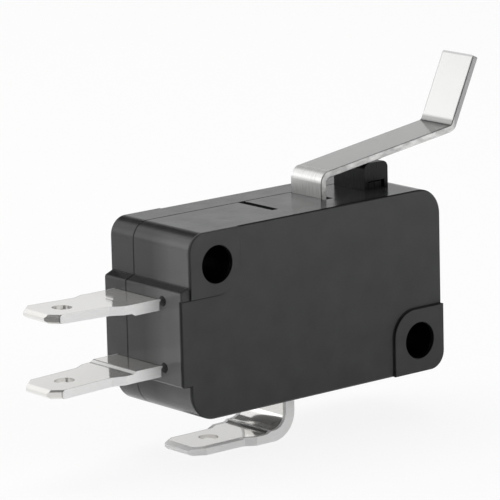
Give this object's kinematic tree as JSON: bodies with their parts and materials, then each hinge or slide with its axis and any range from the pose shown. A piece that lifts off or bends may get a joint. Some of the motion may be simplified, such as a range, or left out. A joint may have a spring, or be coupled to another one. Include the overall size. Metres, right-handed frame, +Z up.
{
  "type": "position_switch",
  "caption": "Small snap-action position switch: moulded housing with a hinged bent lever over a plunger, flat tabs at one end and one under the body.",
  "frame": {"origin": "on the axis of the lower mounting hole, halfway between the front and back faces of the housing", "axes": "X runs along the body away from the end tabs, Y runs from the front face to the back face along the mounting holes, Z runs up towards the plunger and the lever"},
  "size_m": [0.047, 0.0106, 0.0301],
  "materials": {
    "case_plastic": "moulded thermoset, fine matte front",
    "plunger_plastic": "moulded, smooth",
    "lever_steel": "cold-rolled stainless strip",
    "terminal_plate": "brass strip with bright tin plating",
    "contact_silver": "silver alloy rivet",
    "strip_brass": "punched strip",
    "inner_steel": "punched strip and drawn wire"
  },
  "bodies": {
    "housing": {"case": "case_plastic", "cover": "case_plastic", "nc_terminal": "terminal_plate", "no_terminal": "terminal_plate", "common_terminal": "terminal_plate", "nc_contact": "contact_silver", "no_contact": "contact_silver"},
    "lever": {"lever": "lever_steel"},
    "plunger": {"plunger": "plunger_plastic"},
    "contact_arm": {"contact_arm": "strip_brass", "moving_contact": "contact_silver"},
    "trip_lever": {"trip_lever": "inner_steel"},
    "spring": {"snap_spring": "inner_steel"}
  },
  "joints": [
    {"name": "lever_hinge", "type": "hinge", "parent": "housing", "child": "lever", "pos_m": [-0.00755, 0.00017, 0.0123], "axis": [0, 1, 0], "range_deg": [0, 18], "stiffness_Nm_per_rad": 0.03, "springref_deg": -8.59},
    {"name": "plunger_slide", "type": "slide", "parent": "housing", "child": "plunger", "axis": [0, 0, -1], "range_m": [0, 0.0019]},
    {"name": "trip_hinge", "type": "hinge", "parent": "housing", "child": "trip_lever", "pos_m": [-0.01184, 0.0008, 0.0059], "axis": [0, 1, 0], "range_deg": [0, 10.38]},
    {"name": "arm_hinge", "type": "hinge", "parent": "housing", "child": "contact_arm", "pos_m": [-0.01235, 0.0008, 0.00415], "axis": [0, -1, 0], "range_deg": [0, 6.02]},
    {"name": "spring_swing", "type": "hinge", "parent": "contact_arm", "child": "spring", "pos_m": [-0.01609, 0.0008, 0.00435], "axis": [0, 1, 0], "range_deg": [0, 10.29]}
  ],
  "couplings": [
    {"joint": "plunger_slide", "follows": "lever_hinge", "m_per_rad": 0.0060332},
    {"joint": "trip_hinge", "follows": "lever_hinge", "ratio": 0.57685},
    {"joint": "arm_hinge", "follows": "lever_hinge", "ratio": 0.3345},
    {"joint": "spring_swing", "follows": "lever_hinge", "ratio": 0.57182}
  ]
}
